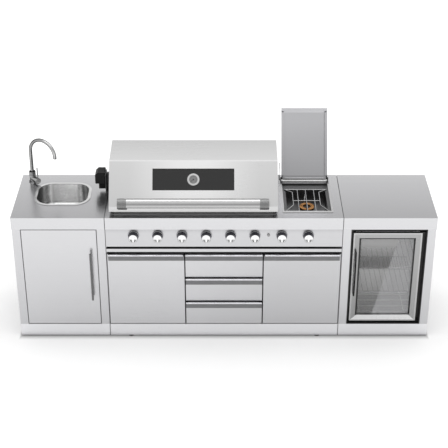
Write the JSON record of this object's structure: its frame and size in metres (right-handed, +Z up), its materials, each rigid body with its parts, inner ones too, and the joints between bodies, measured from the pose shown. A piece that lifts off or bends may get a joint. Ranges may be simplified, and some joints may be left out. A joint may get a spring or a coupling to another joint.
{
  "type": "outdoor kitchen island",
  "caption": "Stainless outdoor kitchen island with a sink and tap, a hooded gas grill with rotisserie, a side burner, drawers, doors and a glass-door fridge",
  "frame": {"origin": "on the floor, under the middle of the worktops", "axes": "X to the right seen from the front, Y to the back, Z up; the fronts face -Y"},
  "size_m": [2.73, 0.773, 1.3481],
  "materials": {
    "panel_steel": "brushed",
    "hood_steel": "brushed",
    "bright_steel": "polished",
    "wire_steel": "bright drawn wire",
    "dark_steel": "satin enamel",
    "cast_handle": "cast and brushed",
    "iron": "matt",
    "knob_metal": "satin face, dark side",
    "smoked_glass": "dark",
    "clear_glass": "clear",
    "gauge": "bright ring, grey dial",
    "black_plastic": "fine grain",
    "fridge_case": "satin",
    "seal_rubber": "matt",
    "brass": "machined",
    "pipe": "galvanised",
    "waste_plastic": "matt"
  },
  "bodies": {
    "island": {"sink_cabinet": "panel_steel", "grill_cabinet": "panel_steel", "fridge_cabinet": "panel_steel", "back_panels": "panel_steel", "levelling_feet": "pipe", "module_bolts": "pipe", "sink_worktop": "panel_steel", "grill_worktop": "panel_steel", "fridge_worktop": "panel_steel", "drawer_runners": "pipe", "hinge_pins": "pipe", "sink_bowl": "bright_steel", "sink_drain": "waste_plastic", "tap_body": "bright_steel", "control_panel": "panel_steel", "gas_manifold": "pipe", "knob_bezels": "bright_steel", "firebox": "dark_steel", "main_burners": "dark_steel", "flame_tamers": "dark_steel", "cooking_grates": "wire_steel", "rear_burner": "dark_steel", "warming_rack": "wire_steel", "rotisserie_motor": "black_plastic", "motor_bracket": "dark_steel", "side_burner_bowl": "panel_steel", "side_burner_base": "iron", "side_burner_ring": "brass", "pan_support": "wire_steel", "fridge_body": "fridge_case", "fridge_shelves": "wire_steel"},
    "sink_door": {"sink_door": "panel_steel", "sink_door_handle": "bright_steel"},
    "left_door": {"left_door": "panel_steel"},
    "right_door": {"right_door": "panel_steel"},
    "top_drawer": {"top_drawer": "panel_steel"},
    "middle_drawer": {"middle_drawer": "panel_steel"},
    "bottom_drawer": {"bottom_drawer": "panel_steel"},
    "tap_spout": {"tap_spout": "bright_steel"},
    "tap_lever": {"tap_lever": "bright_steel"},
    "hood": {"hood_shell": "hood_steel", "hood_window": "smoked_glass", "hood_handle": "cast_handle", "thermometer": "gauge"},
    "spit": {"spit_rod": "bright_steel"},
    "grease_tray": {"grease_tray": "dark_steel"},
    "side_burner_lid": {"side_burner_lid": "panel_steel"},
    "fridge_door": {"fridge_door": "panel_steel", "fridge_door_glass": "clear_glass", "fridge_door_seal": "seal_rubber", "fridge_handle": "black_plastic"},
    "igniter_button": {"igniter_button": "bright_steel"},
    "knob_1": {"knob_1": "knob_metal"},
    "knob_2": {"knob_2": "knob_metal"},
    "knob_3": {"knob_3": "knob_metal"},
    "knob_4": {"knob_4": "knob_metal"},
    "knob_5": {"knob_5": "knob_metal"},
    "knob_6": {"knob_6": "knob_metal"},
    "knob_7": {"knob_7": "knob_metal"},
    "knob_8": {"knob_8": "knob_metal"}
  },
  "joints": [
    {"name": "sink_door_hinge", "type": "hinge", "parent": "island", "child": "sink_door", "pos_m": [-1.288, -0.28, 0], "axis": [0, 0, -1], "range_deg": [0, 100]},
    {"name": "left_door_hinge", "type": "hinge", "parent": "island", "child": "left_door", "pos_m": [-0.699, -0.28, 0], "axis": [0, 0, -1], "range_deg": [0, 100]},
    {"name": "right_door_hinge", "type": "hinge", "parent": "island", "child": "right_door", "pos_m": [0.699, -0.28, 0], "axis": [0, 0, 1], "range_deg": [0, 100]},
    {"name": "top_drawer_slide", "type": "slide", "parent": "island", "child": "top_drawer", "axis": [0, -1, 0], "range_m": [0, 0.4]},
    {"name": "middle_drawer_slide", "type": "slide", "parent": "island", "child": "middle_drawer", "axis": [0, -1, 0], "range_m": [0, 0.4]},
    {"name": "bottom_drawer_slide", "type": "slide", "parent": "island", "child": "bottom_drawer", "axis": [0, -1, 0], "range_m": [0, 0.4]},
    {"name": "spout_swivel", "type": "hinge", "parent": "island", "child": "tap_spout", "pos_m": [-1.285, 0.205, 1], "axis": [0, 0, 1], "range_deg": [-90, 90]},
    {"name": "lever_turn", "type": "hinge", "parent": "island", "child": "tap_lever", "pos_m": [-1.285, 0.205, 0.943], "axis": [0.6428, -0.766, 0], "range_deg": [-45, 45]},
    {"name": "hood_hinge", "type": "hinge", "parent": "island", "child": "hood", "pos_m": [0, 0.248, 0.934], "axis": [-1, 0, 0], "range_deg": [0, 85]},
    {"name": "spit_spin", "type": "hinge", "parent": "island", "child": "spit", "pos_m": [0, 0.085, 1.02], "axis": [1, 0, 0], "continuous": true},
    {"name": "grease_tray_slide", "type": "slide", "parent": "island", "child": "grease_tray", "axis": [0, 1, 0], "range_m": [0, 0.35]},
    {"name": "side_lid_hinge", "type": "hinge", "parent": "island", "child": "side_burner_lid", "pos_m": [0.54, 0.215, 0.932], "axis": [1, 0, 0], "range_deg": [0, 120]},
    {"name": "fridge_door_hinge", "type": "hinge", "parent": "island", "child": "fridge_door", "pos_m": [1.273, -0.262, 0], "axis": [0, 0, 1], "range_deg": [0, 100]},
    {"name": "igniter_press", "type": "slide", "parent": "island", "child": "igniter_button", "axis": [0, 1, 0], "range_m": [0, 0.004], "stiffness_N_per_m": 400, "springref_m": -0.001},
    {"name": "knob_1_turn", "type": "hinge", "parent": "island", "child": "knob_1", "pos_m": [-0.5835, -0.3, 0.78], "axis": [0, 1, 0], "range_deg": [0, 180]},
    {"name": "knob_2_turn", "type": "hinge", "parent": "island", "child": "knob_2", "pos_m": [-0.427, -0.3, 0.78], "axis": [0, 1, 0], "range_deg": [0, 180]},
    {"name": "knob_3_turn", "type": "hinge", "parent": "island", "child": "knob_3", "pos_m": [-0.2705, -0.3, 0.78], "axis": [0, 1, 0], "range_deg": [0, 180]},
    {"name": "knob_4_turn", "type": "hinge", "parent": "island", "child": "knob_4", "pos_m": [-0.114, -0.3, 0.78], "axis": [0, 1, 0], "range_deg": [0, 180]},
    {"name": "knob_5_turn", "type": "hinge", "parent": "island", "child": "knob_5", "pos_m": [0.0425, -0.3, 0.78], "axis": [0, 1, 0], "range_deg": [0, 180]},
    {"name": "knob_6_turn", "type": "hinge", "parent": "island", "child": "knob_6", "pos_m": [0.199, -0.3, 0.78], "axis": [0, 1, 0], "range_deg": [0, 180]},
    {"name": "knob_7_turn", "type": "hinge", "parent": "island", "child": "knob_7", "pos_m": [0.372, -0.3, 0.78], "axis": [0, 1, 0], "range_deg": [0, 90]},
    {"name": "knob_8_turn", "type": "hinge", "parent": "island", "child": "knob_8", "pos_m": [0.543, -0.3, 0.78], "axis": [0, 1, 0], "range_deg": [0, 90]}
  ]
}
